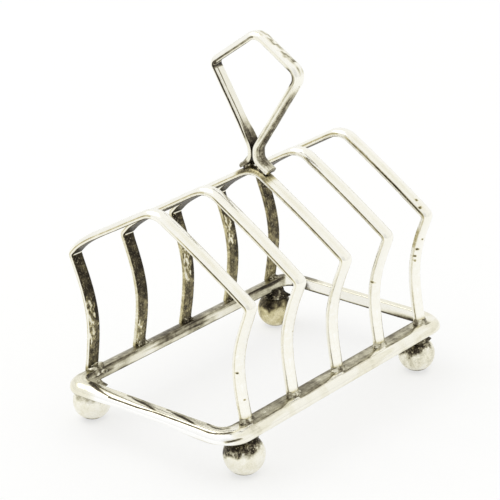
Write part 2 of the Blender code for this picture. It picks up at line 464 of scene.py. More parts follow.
def close_ends(verts, rest, grime_and_painted_light, faces, count, size):
    """Caps both ends of an open sweep with two shrinking rings and a centre point."""
    ahead = np.roll(np.arange(size), -1)
    for first, inner in ((0, size), ((count - 1) * size, (count - 2) * size)):
        ring = first + np.arange(size)
        centre = verts[ring].mean(axis=0)
        beyond = centre - verts[inner:inner + size].mean(axis=0)
        beyond = beyond / (np.linalg.norm(beyond) + 1e-9)
        previous = ring
        for shrink, proud in ((0.93, 0.00008), (0.5, 0.00014)):
            fresh = len(verts) + np.arange(size)
            verts = np.vstack([verts, centre + (verts[ring] - centre) * shrink + beyond * proud])
            rest = np.vstack([rest, rest[ring]])
            grime_and_painted_light = np.concatenate([grime_and_painted_light, np.minimum(1.0, grime_and_painted_light[ring] + 0.25)])
            faces += np.stack([previous, previous[ahead], fresh[ahead], fresh], axis=1).tolist()
            previous = fresh
        faces += np.stack([previous, previous[ahead], np.full(size, len(verts))], axis=1).tolist()
        verts = np.vstack([verts, centre + beyond * 0.00015])
        rest = np.vstack([rest, rest[first]])
        grime_and_painted_light = np.append(grime_and_painted_light, grime_and_painted_light[first])
    return verts, rest, grime_and_painted_light, faces


# ---------------- materials
def new_material(name):
    mat = bpy.data.materials.new(name)
    mat.use_nodes = True
    return mat, mat.node_tree, mat.node_tree.nodes["Principled BSDF"]


def set_inputs(tree, node, inputs):
    """Sets a node's inputs: sockets are linked, other values are stored."""
    for key, value in inputs.items():
        if isinstance(value, bpy.types.NodeSocket):
            tree.links.new(value, node.inputs[key])
        else:
            node.inputs[key].default_value = value


def new_node(tree, kind, inputs, **settings):
    node = tree.nodes.new("ShaderNode" + kind)
    for key, value in settings.items():
        setattr(node, key, value)
    set_inputs(tree, node, inputs)
    return node


def math_node(tree, operation, first, second, clamp=False):
    return new_node(tree, "Math", {0: first, 1: second}, operation=operation, use_clamp=clamp).outputs[0]


def noise_node(tree, vector, scale, detail, roughness=0.55):
    inputs = {"Vector": vector, "Scale": scale, "Detail": detail, "Roughness": roughness}
    return new_node(tree, "TexNoise", inputs).outputs["Fac"]


def ramp_node(tree, factor, stops):
    node = new_node(tree, "ValToRGB", {"Fac": factor})
    elements = node.color_ramp.elements
    while len(elements) < len(stops):
        elements.new(0.5)
    for element, (position, colour) in zip(elements, stops):
        element.position = position
        element.color = (*colour, 1.0)
    return node.outputs["Color"]


def range_node(tree, value, low, high, to_low=0.0, to_high=1.0):
    inputs = {"Value": value, "From Min": low, "From Max": high, "To Min": to_low, "To Max": to_high}
    return new_node(tree, "MapRange", inputs, interpolation_type="SMOOTHSTEP").outputs["Result"]


def attribute_node(tree, name, output):
    return new_node(tree, "Attribute", {}, attribute_name=name).outputs[output]


def stretched(tree, vector, share):
    """Wire coordinates squeezed along the run, so that marks come out longer than wide."""
    return new_node(tree, "Mapping", {"Vector": vector, "Scale": (share, 1.0, 1.0)}).outputs["Vector"]


SILVER_STOPS = (
    (0.00, (1.0, 1.0, 0.99)),
    (0.04, (0.95, 0.935, 0.86)),
    (0.20, (0.84, 0.81, 0.67)),
    (0.40, (0.50, 0.47, 0.34)),
    (0.60, (0.21, 0.185, 0.125)),
    (0.80, (0.085, 0.071, 0.048)),
    (1.00, (0.030, 0.024, 0.018)),
)
# noise scales, per metre: blotches, grain, drawn scratches, rubbed flakes, bright specks in the dark
PATCH_SCALE = 520.0
GRAIN_SCALE = 2100.0
LINE_SCALE = 2600.0
FLAKE_SCALE = 950.0
GLINT_SCALE = 1500.0
GLINT_COLOUR = (0.62, 0.56, 0.38, 1.0)
TARNISH_ROUGHNESS = 0.46
RELIEF_DEPTH = 0.00006
# the oldest tarnish, warmer and greener
OLIVE_STOPS = (
    (0.00, (1.0, 0.98, 0.86)),
    (0.20, (0.86, 0.80, 0.56)),
    (0.40, (0.56, 0.50, 0.28)),
    (0.60, (0.24, 0.205, 0.11)),
    (0.80, (0.09, 0.075, 0.045)),
    (1.00, (0.030, 0.024, 0.016)),
)


def silver(name, mottle=0.5, speck=0.5, streaks=0.5, polish=0.13, relief=0.35, stops=SILVER_STOPS):
    """Old polished silver: bright where it is rubbed, brown-black where the cloth never reaches.

    An attribute says how tarnished a spot is, and it also carries a few painted highlights, a painted
    reflection and painted shade; noise breaks its edges up."""
    mat, tree, shader = new_material(name)

    def add(first, second, clamp=False):
        return math_node(tree, "ADD", first, second, clamp)

    def less(first, second):
        return math_node(tree, "SUBTRACT", first, second)

    def times(first, second):
        return math_node(tree, "MULTIPLY", first, second)

    wire = attribute_node(tree, "rest_wire", "Vector")
    level = attribute_node(tree, "grime_and_painted_light", "Fac")
    patches = noise_node(tree, wire, PATCH_SCALE, 3.0, 0.6)
    grains = noise_node(tree, wire, GRAIN_SCALE, 2.0, 0.6)
    lines = noise_node(tree, stretched(tree, wire, 0.10), LINE_SCALE, 2.0, 0.5)

    # noise moves middling tarnish most, clean and black areas least
    spread = times(times(level, less(1.12, level)), times(level, 5.5))
    wobble = times(less(patches, 0.5), mottle * 1.6)
    grain = times(less(grains, 0.5), speck * 0.9)
    line = times(less(lines, 0.5), streaks * 0.8)
    change = times(add(add(wobble, grain), line), add(spread, 0.07))
    # the painted highlights, reflection and shade held in the attribute pass through here along with the
    # tarnish
    tarnish = add(level, change, clamp=True)
    # flakes rubbed through the tarnish
    flakes = noise_node(tree, stretched(tree, wire, 0.55), FLAKE_SCALE, 2.5, 0.55)
    flakes = add(flakes, times(attribute_node(tree, "worn", "Fac"), 0.20))
    flakes = range_node(tree, flakes, 0.64, 0.82, 0.0, 0.72)
    tarnish = times(tarnish, less(1.0, flakes))

    colour = ramp_node(tree, tarnish, stops)
    glints = range_node(tree, noise_node(tree, wire, GLINT_SCALE, 2.0, 0.7), 0.60, 0.68)
    glints = times(times(glints, range_node(tree, tarnish, 0.35, 0.75)), speck)
    mix = new_node(tree, "Mix", {"Factor": glints, "A": colour, "B": GLINT_COLOUR}, data_type="RGBA")
    rough = range_node(tree, tarnish, 0.0, 0.9, polish, TARNISH_ROUGHNESS)
    height = add(add(times(grains, 0.5), lines), times(patches, 1.5))
    bump = new_node(tree, "Bump", {"Strength": relief, "Distance": RELIEF_DEPTH, "Height": height})
    set_inputs(tree, shader, {
        "Metallic": 1.0,
        "Base Color": mix.outputs["Result"],
        "Roughness": add(rough, times(less(grains, 0.5), 0.10)),
        "Normal": bump.outputs["Normal"],
    })
    return mat


arch_stops = SILVER_STOPS[:3] + OLIVE_STOPS[2:]
arch_silver = silver("arch_silver", mottle=0.55, speck=0.6, streaks=0.4, stops=arch_stops)
frame_silver = silver("frame_silver", mottle=0.35, speck=0.2, streaks=0.6, relief=0.10)
handle_silver = silver("handle_silver", mottle=0.5, speck=0.4, streaks=0.9)
ball_silver = silver("ball_silver", mottle=1.1, speck=1.2, streaks=0.0, polish=0.2)
olive_silver = silver("olive_silver", mottle=0.7, speck=0.2, streaks=0.0, polish=0.2, stops=OLIVE_STOPS)
solder_silver = silver("solder_silver", mottle=1.0, speck=0.9, streaks=0.0, polish=0.2)


# ---------------- base frame
frame_low, frame_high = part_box("base_frame")
FRAME_TOP = frame_high.z
FRAME_MID = (frame_low.z + frame_high.z) / 2.0
FRAME_H = frame_high.z - frame_low.z
first_low, first_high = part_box("arch_1")
FIRST_LEG_X = (first_low.x + first_high.x) / 2.0
LEG_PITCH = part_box("arch_2")[0].x - first_low.x
LAST_LEG_X = FIRST_LEG_X + 4.0 * LEG_PITCH
# faint tarnish of everything but the brightest faces
BASE_TINT = 0.04


def frame_path():
    """Points and outward directions round the flat inner face of the base frame."""
    steps = 20
    points, outwards = [], []
    corners = ((1, 1, 0), (-1, 1, 90), (-1, -1, 180), (1, -1, 270))
    for sign_x, sign_y, first in corners:
        centre_x = sign_x * (FRAME_HALF_L - FRAME_CORNER_R) - FRAME_FAR_CUT * (sign_x > 0)
        centre_y = sign_y * (FRAME_HALF_W - FRAME_CORNER_R) - FRAME_LEFT_IN * (sign_y > 0)
        for step in range(steps + 1):
            angle = math.radians(first + 90.0 * step / steps)
            outward = Vector((math.cos(angle), math.sin(angle), 0.0))
            points.append(Vector((centre_x, centre_y, FRAME_MID)) + outward * FRAME_CORNER_R)
            outwards.append(outward)
    full_points, full_outwards = [], []
    for i, here in enumerate(points):
        there, way = points[(i + 1) % len(points)], outwards[(i + 1) % len(points)]
        parts = max(1, int(math.ceil((there - here).length / STATION)))
        for part in range(parts):
            full_points.append(here.lerp(there, part / parts))
            full_outwards.append(outwards[i].lerp(way, part / parts).normalized())
    return np.array(full_points), np.array(full_outwards)


def frame_sections(points, outwards):
    """The long bars are stout; the end bar at -X was filed thin underneath along its middle."""
    sections = []
    for point, outward in zip(points, outwards):
        long_side = outward[1] ** 2
        left = float(smooth(0.0, 0.7, outward[1]))
        bend = 2.0 * abs(outward[0] * outward[1]) * (outward[0] < 0.0) * (outward[1] > 0.0)
        thickness = FRAME_END_T + (FRAME_SIDE_T - FRAME_END_T) * long_side
        thickness -= FRAME_LEFT_THIN * left * long_side + FRAME_CORNER_THIN * bend
        top_share = 0.30 + (0.12 - 0.28 * left) * long_side
        lift = FRAME_END_LIFT * float(smooth(0.020, 0.006, abs(point[1]))) * (outward[0] < -0.5)
        lift += FRAME_RIGHT_LIFT * float(smooth(0.0, -0.7, outward[1]))
        sections.append(rail_section(FRAME_H, thickness, top_share, lift))
    return sections


def paint_frame(track, side, rise, rest):
    """Grey-brown on top between the legs, dark underneath, bright on the outer curve."""
    x, y = track[:, 0], track[:, 1]
    plane = np.stack([x, y, y * 0.0], axis=1)
    # way round the section, from the inner top edge outwards and down
    around = rest[:, 2] + FRAME_H / 2.0 - rest[:, 1]
    outer = smooth(0.015, 0.06, rise)
    inner = 1.0 - outer
    wander = bumps(plane, 0.009, 5)
    ripple = bumps(plane, 0.0035, 6)
    drawn = bumps(rest * np.array([0.10, 1.0, 0.0]), 0.0009, 9)
    inner_y = FRAME_HALF_W - FRAME_LEFT_IN * (y > 0.0)
    long_side = smooth(inner_y - 0.0006, inner_y - 0.0001, np.abs(y))

    # the -Y bar: a dark band between the legs, which narrows towards the next leg, with a darker border
    place = np.mod((x - FIRST_LEG_X) / LEG_PITCH, 1.0)
    edge = 0.0044 - 0.0017 * smooth(0.55, 0.95, place) + 0.0005 * wander + 0.0001 * ripple
    between = smooth(-0.0035, -0.0015, x - FIRST_LEG_X) * smooth(0.0030, 0.0010, x - LAST_LEG_X)
    band = smooth(edge + 0.0002, edge - 0.0002, around) * outer * between
    border = smooth(0.00035, 0.0001, np.abs(around - edge)) * outer * between
    rim = smooth(0.0007, 0.0003, around) * outer
    bare = 0.05 + 0.06 * smooth(0.2, 0.8, ripple) + 0.09 * smooth(0.1, 0.5, drawn)
    right_bar = long_side * (y < 0.0) * darkest(
        band * (0.50 + 0.22 * wander + 0.10 * ripple),
        border * 0.62, rim * 0.72, (1.0 - band) * outer * bare,
    )
    # the +Y bar: brown on top, smeared and scratched on its inner face
    smear = 0.40 * smooth(0.1, 0.9, side) + 0.20 * smooth(-0.1, 0.6, wander)
    smear += 0.34 * smooth(0.05, 0.5, drawn) + 0.25 * smooth(0.010, 0.030, x)
    smear += 0.22 * smooth(-0.018, -0.034, x)
    left_bar = long_side * (y > 0.0) * darkest(
        smooth(0.0043, 0.0037, around) * outer * (0.51 + 0.18 * wander),
        inner * (0.14 + 0.14 * ripple + smear),
    )
    corner = smooth(0.034, 0.039, x) * smooth(0.008, 0.018, y) * smooth(0.0047, 0.0040, around)
    corner = corner * outer * (0.56 + 0.15 * wander)

    # the end bar at -X: a grey top and a bright face with a thin dark line between them; a second line
    # wanders out from the inner edge twice; a wedge of dirt crosses the top from the first arch's foot
    near_end = (x < 0.0) * (1.0 - long_side) * outer
    top_edge = 0.0042 - 0.0005 * smooth(0.004, -0.006, y) + 0.0002 * bumps(plane, 0.012, 8)
    wave = np.mod((0.0075 - y) / 0.0135, 1.0)
    wandering = 0.0004 + 0.0026 * wave + 0.0002 * ripple
    thick = 0.0012 * wave * (1.0 - wave) + 0.00012
    line = smooth(thick * 1.7, thick * 0.6, np.abs(around - wandering)) * smooth(1.0, 0.7, wave)
    line = line * smooth(0.0080, 0.0070, y)
    top_border = smooth(0.00040, 0.00018, np.abs(around - top_edge)) * (y < 0.012)
    along = np.clip((0.0205 - y) / 0.0190, 0.0, 1.0)
    middle = 0.0006 + 0.0036 * (1.0 - (1.0 - along) ** 3)
    thick = 0.0007 * smooth(0.5, 0.0, along) + 0.00016
    wedge = smooth(thick * 1.4, thick * 0.7, np.abs(around - middle)) * (along > 0.0) * (along < 1.0)
    near_bar = near_end * darkest(
        0.20 * smooth(wandering + 0.0002, wandering, around),
        0.14 * smooth(top_edge + 0.0002, top_edge, around),
        0.84 * line, 0.80 * top_border, 0.80 * wedge,
    )
    # the end bar at +X: a dark line under its clean inner face, brown towards the -Y end, and a grey top
    foot_line = -0.62 + 0.20 * smooth(0.0, -0.020, y)
    brown = smooth(-0.006, -0.020, y) * smooth(0.2, -0.6, side)
    dark_line = smooth(foot_line, foot_line - 0.18, side)
    far_bar = (x > 0.0) * (1.0 - long_side) * darkest(
        inner * 0.78 * dark_line, inner * 0.55 * brown, inner * 0.22 * smooth(0.80, 0.95, side),
        outer * smooth(0.0050, 0.0025, around) * (0.16 + 0.05 * wander),
    )

    # a short black streak low on the corner at -X -Y, and matte grey on the corner at -X +Y
    streak = smooth(0.0012, 0.0007, np.hypot(x + 0.0434, y + 0.0248))
    streak = streak * smooth(0.00042, 0.00018, np.abs(around - 0.0069)) * outer * 0.80
    away = np.hypot(x + FRAME_HALF_L + 0.001, y - FRAME_HALF_W - 0.001)
    matte = outer * 0.20 * smooth(0.0105, 0.0060, away)
    under = smooth(-0.70, -0.95, side) * 0.80
    # painted reflection: the lower face of the -X end bar is left without the faint tarnish, so it comes
    # out whiter than the rest
    face = near_end * smooth(top_edge, top_edge + 0.0003, around)
    grime_and_painted_light = darkest(right_bar, left_bar, corner, near_bar, far_bar, streak, matte, under)
    return grime_and_painted_light + BASE_TINT * (1.0 - face)


points, outwards = frame_path()
upward = np.tile(np.array([[0.0, 0.0, 1.0]]), (len(points), 1))
base = sweep(
    "base_frame_wire", (points, outwards, upward, points[:, :2]), frame_sections(points, outwards),
    True, frame_silver, paint_frame, FRAME_DENTS, 3,
)
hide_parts("base_frame")


# ---------------- arches
# worn pits on the -Y half: arch number, height above the frame, place across the wire, size
PITS = (
    (1, 0.0139, -0.82, 0.00026),
    (1, 0.0060, -0.30, 0.00016),
    (4, 0.0190, -0.93, 0.00026),
    (5, 0.0346, -0.40, 0.00024),
    (5, 0.0333, -0.70, 0.00024),
    (5, 0.0257, -0.30, 0.00024),
    (5, 0.0226, -0.72, 0.00032),
    (5, 0.0204, -0.84, 0.00026),
    (5, 0.0190, -0.78, 0.00028),
    (2, 0.0180, 0.25, 0.00014),
)
# where the dark of the +Y legs has been rubbed through: middle height, reach and strength for each arch
WORN = (
    (0.0145, 0.0085, 1.1),
    (0.0045, 0.0042, 0.9),
    (0.0185, 0.0080, 1.1),
    (0.0215, 0.0055, 1.1),
    (0.0060, 0.0030, 0.3),
)
# tarnish on the flat face of each +Y leg
LEG_DARKNESS = (0.90, 0.89, 0.85, 0.84, 0.79)
# tarnish on the narrow edge of each +Y leg
EDGE_DULL = (0.0, 0.26, 0.42, 0.42, 0.62)
# dirt along the near edge of the -Y slopes: strength near the apex, strength near the shoulder, width
SLOPE_LINES = (
    (0.10, 0.95, 0.09),
    (0.72, 0.66, 0.08),
    (0.36, 0.90, 0.08),
    (0.50, 0.88, 0.08),
    (0.46, 0.80, 0.16),
)


def paint_arch(index):
    """Tarnish of one arch. The flat face is dark, most of all on the +Y legs."""
    worn_z, worn_reach, worn_strength = WORN[index]
    top_line, low_line, width = SLOPE_LINES[index]
    shoulders = ((-1.0, RIGHT_SHOULDER[index], 0.0), (1.0, LEFT_SHOULDER[index], LEFT_SHOULDER_LIFT[index]))

    def paint(track, side, rise, rest):
        y, z = track[:, 0], track[:, 1]
        flat = 1.0 - np.where(y > 0.0, smooth(0.03, 0.12, rise), smooth(0.0, 0.03, rise))
        dome = 1.0 - flat
        leg = 1.0 - smooth(SHOULDER_Z - 0.0008, SHOULDER_Z + 0.0008, z)
        far_leg = leg * (y > 0.0)
        near_leg = leg * (y < 0.0)
        wander = bumps(rest + index, 0.006, 11 + index)
        fade = LEG_DARKNESS[index] - 0.18 * smooth(0.026, 0.004, z) + 0.08 * wander
        rubbed = smooth(1.2, 0.4, np.abs(z - worn_z) / worn_reach) * smooth(0.55, -0.15, side)
        fade = fade - 0.16 * worn_strength * rubbed
        grime_and_painted_light = darkest(
            flat * (far_leg * fade + near_leg * 0.66 + (1.0 - leg) * 0.86),
            far_leg * dome * smooth(-0.80, -0.95, side) * EDGE_DULL[index],
        )
        if index == 4:
            high = smooth(0.0215, 0.0240, z) * smooth(0.0300, 0.0275, z)
            grime_and_painted_light = darkest(grime_and_painted_light, near_leg * dome * smooth(-0.955, -0.985, side) * high * 0.40)
        # along the inside of each bend: a bright painted highlight between two black creases
        for sign, out, lift in shoulders:
            away = np.hypot(y - sign * (SHOULDER_Y + out), z - SHOULDER_Z - lift)
            grime_and_painted_light = darkest(grime_and_painted_light, flat * smooth(0.0026, 0.0011, away) * 0.97)
            bend_highlight = flat * smooth(0.00034, 0.00016, away) * smooth(-0.9, -0.5, side)
            grime_and_painted_light = grime_and_painted_light * (1.0 - 0.93 * bend_highlight)
        # dirt lies where the dome meets the side wall
        down = smooth(APEX_Z - 0.002, SHOULDER_Z + 0.006, z)
        right_slope = (1.0 - leg) * (y < 0.0) * smooth(APEX_Z, APEX_Z - 0.003, z)
        left_slope = (1.0 - leg) * (y > 0.0)
        gap = np.abs(rise - SIDE_SHARE - width)
        near_edge = smooth(width + 0.03, width * 0.5, gap) * (side < -0.55)
        line = right_slope * (top_line + (low_line - top_line) * down) * (1.0 + 0.25 * wander)
        faint_line = left_slope * 0.38 + leg * (0.20 + 0.12 * wander)
        far_edge = smooth(0.10, 0.03, np.abs(rise - SIDE_SHARE - 0.20)) * (side > 0.55)
        dull = smooth(0.50, 0.15, np.abs(side + 0.40)) * (0.09 + 0.05 * wander)
        grime_and_painted_light = darkest(
            grime_and_painted_light, near_edge * line, near_edge * faint_line, right_slope * dome * dull,
            far_edge * (0.16 + 0.10 * leg + 0.06 * wander), 0.42 * smooth(0.0022, 0.0004, z),
        )
        # solder smeared over the middle arch round the handle's feet
        if index == 2:
            smear = smooth(0.0062, 0.0040, np.abs(y)) * (z > SHOULDER_Z) * smooth(0.30, 0.42, rise)
            grime_and_painted_light = darkest(grime_and_painted_light, smear * (0.48 + 0.12 * wander))
        for number, height, place, radius in PITS:
            if number == index + 1:
                gap = np.hypot(z - height, (side - place) * WIRE_W / 2.0)
                pit = (y < 0.0) * (rise > 0.3) * smooth(radius * 1.6, radius * 0.6, gap)
                grime_and_painted_light = darkest(grime_and_painted_light, 0.85 * pit)
        # the narrow edge of the -Y slopes is the brightest part of the wire, with a thin outline
        edge = right_slope * (side < -0.9) * smooth(SIDE_SHARE + 0.02, SIDE_SHARE - 0.02, rise)
        grime_and_painted_light = darkest(grime_and_painted_light, right_slope * (side < -0.85) * smooth(0.13, 0.06, rise) * 0.42)
        return grime_and_painted_light + BASE_TINT * (1.0 - edge)

    return paint


def rub_arch(index):
    """How far the dark of each vertex has been rubbed through to bright silver, from 0 to 1."""

    def rub(track, side, rise, rest):
        y, z = track[:, 0], track[:, 1]
        middle, reach, strength = WORN[index]
        flat = 1.0 - smooth(0.03, 0.12, rise)
        half = 0.25 + 0.75 * smooth(0.55, -0.15, side)
        return flat * (y > 0.0) * strength * half * smooth(reach * 1.2, reach * 0.5, np.abs(z - middle))

    return rub


for index in range(5):
    node = f"arch_{index + 1}"
    low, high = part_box(node)
    path = fill_gaps(arch_path(index), STATION)
    points, outwards, acrosses, track = upright_stations(path, (low.x + high.x) / 2.0)
    points[:, 0] += ARCH_LEAN[index] * np.clip(track[:, 1] / APEX_Z, 0.0, 1.0)
    points[:, 0] += LEFT_SKEW[index] * smooth(0.0, SHOULDER_Y, track[:, 0])
    # the twist lives on the +Y slope and dies out on the leg and over the apex
    on_slope = smooth(0.0015, 0.0045, track[:, 0])
    on_slope = on_slope * smooth(SHOULDER_Z - 0.002, SHOULDER_Z + 0.0015, track[:, 1])
    acrosses, outwards = twisted(acrosses, outwards, np.radians(LEFT_TWIST[index]) * on_slope[:, None])
    arch = sweep(
        f"{node}_wire", (points, outwards, acrosses, track), [dee_section(WIRE_W, WIRE_T)] * len(points),
        False, arch_silver, paint_arch(index), ARCH_DENTS, 20 + index, rub_arch(index),
    )
    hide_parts(node)


# ---------------- handle
def paint_handle(track, side, rise, rest):
    """The flat face darkens towards the neck, where the two strands meet."""
    y, z = track[:, 0], track[:, 1]
    flat = 1.0 - smooth(0.03, 0.12, rise)
    right_dome = (y < 0.0) * (1.0 - flat)
    neck = smooth(NECK_Z + 0.0085, NECK_Z + 0.0005, z)
    foot = smooth(NECK_Z + 0.0045, NECK_Z + 0.0005, z)
    right_foot_end = smooth(0.0022, 0.0040, -y) * foot
    crown = smooth(-0.0006, 0.0006, z - (KITE_LEFT_Z + (KITE_RIGHT_Z - KITE_LEFT_Z) * (y < 0.0)))
    wander = bumps(rest, 0.006, 51)
    # a dark line runs down the flat face of the +Y strand, close to its edge
    strand_line = smooth(0.12, 0.05, np.abs(side + 0.62)) * flat * (y > 0.0) * (1.0 - crown)
    # the -Y strand: dark on the far half of its dome, lower down
    low_half = smooth(KITE_RIGHT_Z - 0.0015, KITE_RIGHT_Z - 0.0065, z) * (1.0 - crown)
    half = smooth(-0.88, -0.70, side) * low_half * right_dome * (1.0 - 0.55 * right_foot_end)
    line = smooth(0.07, 0.02, np.abs(side + 0.84)) * right_dome * (1.0 - crown)
    line = line * smooth(KITE_RIGHT_Z, KITE_RIGHT_Z - 0.006, z)
    # scuffs on the -Y bar of the crown and a crease at its corner
    scuff = smooth(-0.15, 0.35, bumps(rest * np.array([0.50, 1.0, 1.0]), 0.0006, 52))
    scuff = scuff * right_dome * crown * smooth(-0.72, -0.45, side)
    crease = smooth(0.0042, 0.0020, np.hypot(y + KITE_HALF_W, z - KITE_RIGHT_Z)) * (side < -0.85)
    crease = crease * smooth(0.24, 0.12, np.abs(rise - 0.12))
    # the side wall stays bright and dirt lies along its edge with the dome
    seam = smooth(0.15, 0.07, np.abs(rise - SIDE_SHARE - 0.06)) * (np.abs(side) > 0.55)
    amount = 0.34 + 0.55 * (y > 0.0) * (1.0 - 0.6 * crown) - 0.20 * (y < 0.0) * crown + 0.10 * wander
    tread = foot * (1.0 - flat) * smooth(0.95, 0.86, np.abs(side)) * (1.0 - 0.55 * right_foot_end)
    grime_and_painted_light = darkest(
        flat * (0.07 + 0.80 * neck + 0.62 * crown * (1.0 - 0.6 * neck) + 0.03 * wander),
        0.62 * strand_line,
        half * (0.62 + 0.12 * wander),
        0.62 * line,
        0.44 * scuff,
        0.75 * crease,
        seam * amount * (1.0 - 0.8 * foot),
        tread * (0.46 + 0.10 * wander),
        # the +Y foot is smeared with solder all over
        smooth(0.0006, 0.0016, y) * foot * (0.52 + 0.10 * wander),
    )
    # at the kite's two side corners: black creases in the flat face, with a bright painted highlight along
    # each bend
    for sign, side_z in ((-1.0, KITE_RIGHT_Z), (1.0, KITE_LEFT_Z)):
        away = np.hypot(y - sign * KITE_HALF_W, z - side_z)
        crease_and_highlight = (1.0 - smooth(0.10, 0.45, rise)) * (0.5 + 0.5 * (sign > 0.0))
        grime_and_painted_light = darkest(grime_and_painted_light, crease_and_highlight * smooth(0.0016, 0.0007, away) * 0.97)
        grime_and_painted_light = grime_and_painted_light * (1.0 - 0.9 * crease_and_highlight * smooth(0.00040, 0.00018, away))
    top_away = np.hypot(y, z - KITE_TOP_Z)
    return grime_and_painted_light * (1.0 - 0.6 * flat * smooth(0.004, 0.002, top_away)) + BASE_TINT


points, outwards, acrosses, track = upright_stations(fill_gaps(handle_path(), STATION), HANDLE_X)
y, height = track.T
yaw = KITE_YAW * smooth(NECK_Z, NECK_Z + 0.008, height)
for group in (points, outwards, acrosses):
    turned_x = group[:, 0] * np.cos(yaw) - group[:, 1] * np.sin(yaw)
    group[:, 1] = group[:, 0] * np.sin(yaw) + group[:, 1] * np.cos(yaw)
    group[:, 0] = turned_x
points[:, 0] += KITE_LEAN_X * np.maximum(0.0, (height - NECK_Z) / (KITE_TOP_Z - NECK_Z))
# the +Y strand and the +Y bar of the crown are twisted about their own length
rising = smooth(NECK_Z + 0.002, NECK_Z + 0.007, height) * smooth(0.0005, 0.002, y)
over = smooth(KITE_LEFT_Z - 0.001, KITE_LEFT_Z + 0.001, height)
tilt = np.radians(STRAND_TWIST + (CROWN_TWIST - STRAND_TWIST) * over) * rising
acrosses, outwards = twisted(acrosses, outwards, tilt[:, None])
squash = smooth(0.0012, 0.0035, y) * smooth(NECK_Z, NECK_Z - 0.002, height)
sections = [dee_section(WIRE_W, WIRE_T * (1.0 - FOOT_SQUASH * share)) for share in squash]
handle = sweep(
    "handle_wire", (points, outwards, acrosses, track), sections, False,
    handle_silver, paint_handle, HANDLE_DENTS, 41,
)
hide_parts("handle")


# ---------------- ball feet
BALL_RINGS = 48
BALL_SIDES = 64
BALL_DENTS = 0.00006
BALL_INSET = 0.00007


def ball_foot(node, seed, shape, spread, top_dark, tint, lean, material):
    """A hand-filed ball: nearly round, faintly dented, with a worn flat underneath.

    shape is how far it sits off its drawn place in x and y and how much smaller it came out;
    lean pulls the dark of its top along x, along y and downwards."""
    low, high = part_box(node)
    shift_x, shift_y, smaller = shape
    centre = np.array([(low.x + high.x) / 2.0 + shift_x, (low.y + high.y) / 2.0 + shift_y, 0.0])
    radius = (high.x - low.x) / 2.0 - smaller
    centre[2] = high.z - 2.0 * smaller - radius
    angles = np.repeat(math.pi * np.arange(1, BALL_RINGS) / BALL_RINGS, BALL_SIDES)
    turns = np.tile(2.0 * math.pi * np.arange(BALL_SIDES) / BALL_SIDES, BALL_RINGS - 1)
    flat = np.sin(angles)
    unit = np.stack([flat * np.cos(turns), flat * np.sin(turns), -np.cos(angles)], axis=1)
    bottom, top = len(unit), len(unit) + 1
    unit = np.vstack([unit, (0.0, 0.0, -1.0), (0.0, 0.0, 1.0)])
    faces = tube_faces(BALL_RINGS - 1, BALL_SIDES)
    last = bottom - BALL_SIDES
    for spoke in range(BALL_SIDES):
        nxt = (spoke + 1) % BALL_SIDES
        faces += [(nxt, spoke, bottom), (last + spoke, last + nxt, top)]
    dents = bumps(unit * radius + seed, 0.0040, seed) * BALL_DENTS
    dents += bumps(unit * radius + seed, 0.0012, seed + 1) * BALL_DENTS * 0.2
    verts = centre + unit * (radius - BALL_INSET + dents)[:, None]
    verts[:, 2] = np.maximum(verts[:, 2], low.z)
    height = unit[:, 2]
    patch = bumps(unit + seed, 0.55, seed + 2) * 0.7 + bumps(unit + seed, 0.22, seed + 3) * 0.3
    leaning = height + unit[:, 0] * lean[0] + unit[:, 1] * lean[1] + lean[2]
    grime_and_painted_light = tint + spread * patch + smooth(0.20, 0.50, leaning + 0.34 * patch) * top_dark
    # painted shade: the lowest part of each ball darkens towards the floor
    grime_and_painted_light = np.maximum(grime_and_painted_light, smooth(-0.62, -0.88, height + 0.1 * patch) * 0.80)
    return mesh_piece(
        f"{node}_ball", verts, faces, material,
        {"rest_wire": unit * radius + 0.05 * seed, "grime_and_painted_light": np.clip(grime_and_painted_light, 0.0, 1.0)},
    )


# each ball: shift in x, shift in y and shrinkage; mottling; darkness of its top; tint; lean of the dark
BALLS = (
    ((0.0, 0.0003, 0.0), 0.07, 0.74, 0.13, (-0.15, 0.08, 0.0)),
    ((-0.0005, 0.0003, 0.0003), 0.08, 0.16, 0.14, (0.0, 0.0, 0.0)),
    ((-0.0005, 0.0005, 0.00035), 0.13, 0.52, 0.20, (-0.22, 0.26, -0.10)),
    ((-0.0001, -0.0010, 0.0003), 0.16, 0.46, 0.34, (0.16, -0.24, 0.06)),
)
for number, (shape, mottling, top_dark, tint, lean) in enumerate(BALLS):
    node = f"foot_{number + 1}"
    material = olive_silver if number == 3 else ball_silver
    ball = ball_foot(node, 60 + number, shape, mottling, top_dark, tint, lean, material)
    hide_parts(node)


# ---------------- solder
COLLAR_RINGS = 12
COLLAR_SIDES = 48


def solder_piece(name, verts, faces, grime_and_painted_light):
    attributes = {"rest_wire": verts, "grime_and_painted_light": np.clip(grime_and_painted_light, 0.0, 1.0)}
    piece = mesh_piece(name, verts, faces, solder_silver, attributes)


def lump(name, centre, radii, darkness, seed, tilt=0.0):
    """A blob of solder: a flattened drop with a soft uneven surface."""
    bm = bmesh.new()
    bmesh.ops.create_icosphere(bm, subdivisions=4, radius=1.0)
    unit = np.array([v.co for v in bm.verts])
    faces = [[v.index for v in f.verts] for f in bm.faces]
    bm.free()
    swell = 1.0 + 0.20 * bumps(unit + seed, 0.80, seed) + 0.07 * bumps(unit + seed, 0.33, seed + 1)
    shaped = unit * swell[:, None] * np.array(radii)
    c, s = math.cos(tilt), math.sin(tilt)
    turned = shaped.copy()
    turned[:, 1] = shaped[:, 1] * c - shaped[:, 2] * s
    turned[:, 2] = shaped[:, 1] * s + shaped[:, 2] * c
    verts = turned + np.array(centre)
    patch = bumps(unit + seed, 0.45, seed + 2)
    solder_piece(name, verts, faces, darkness + 0.35 * patch)


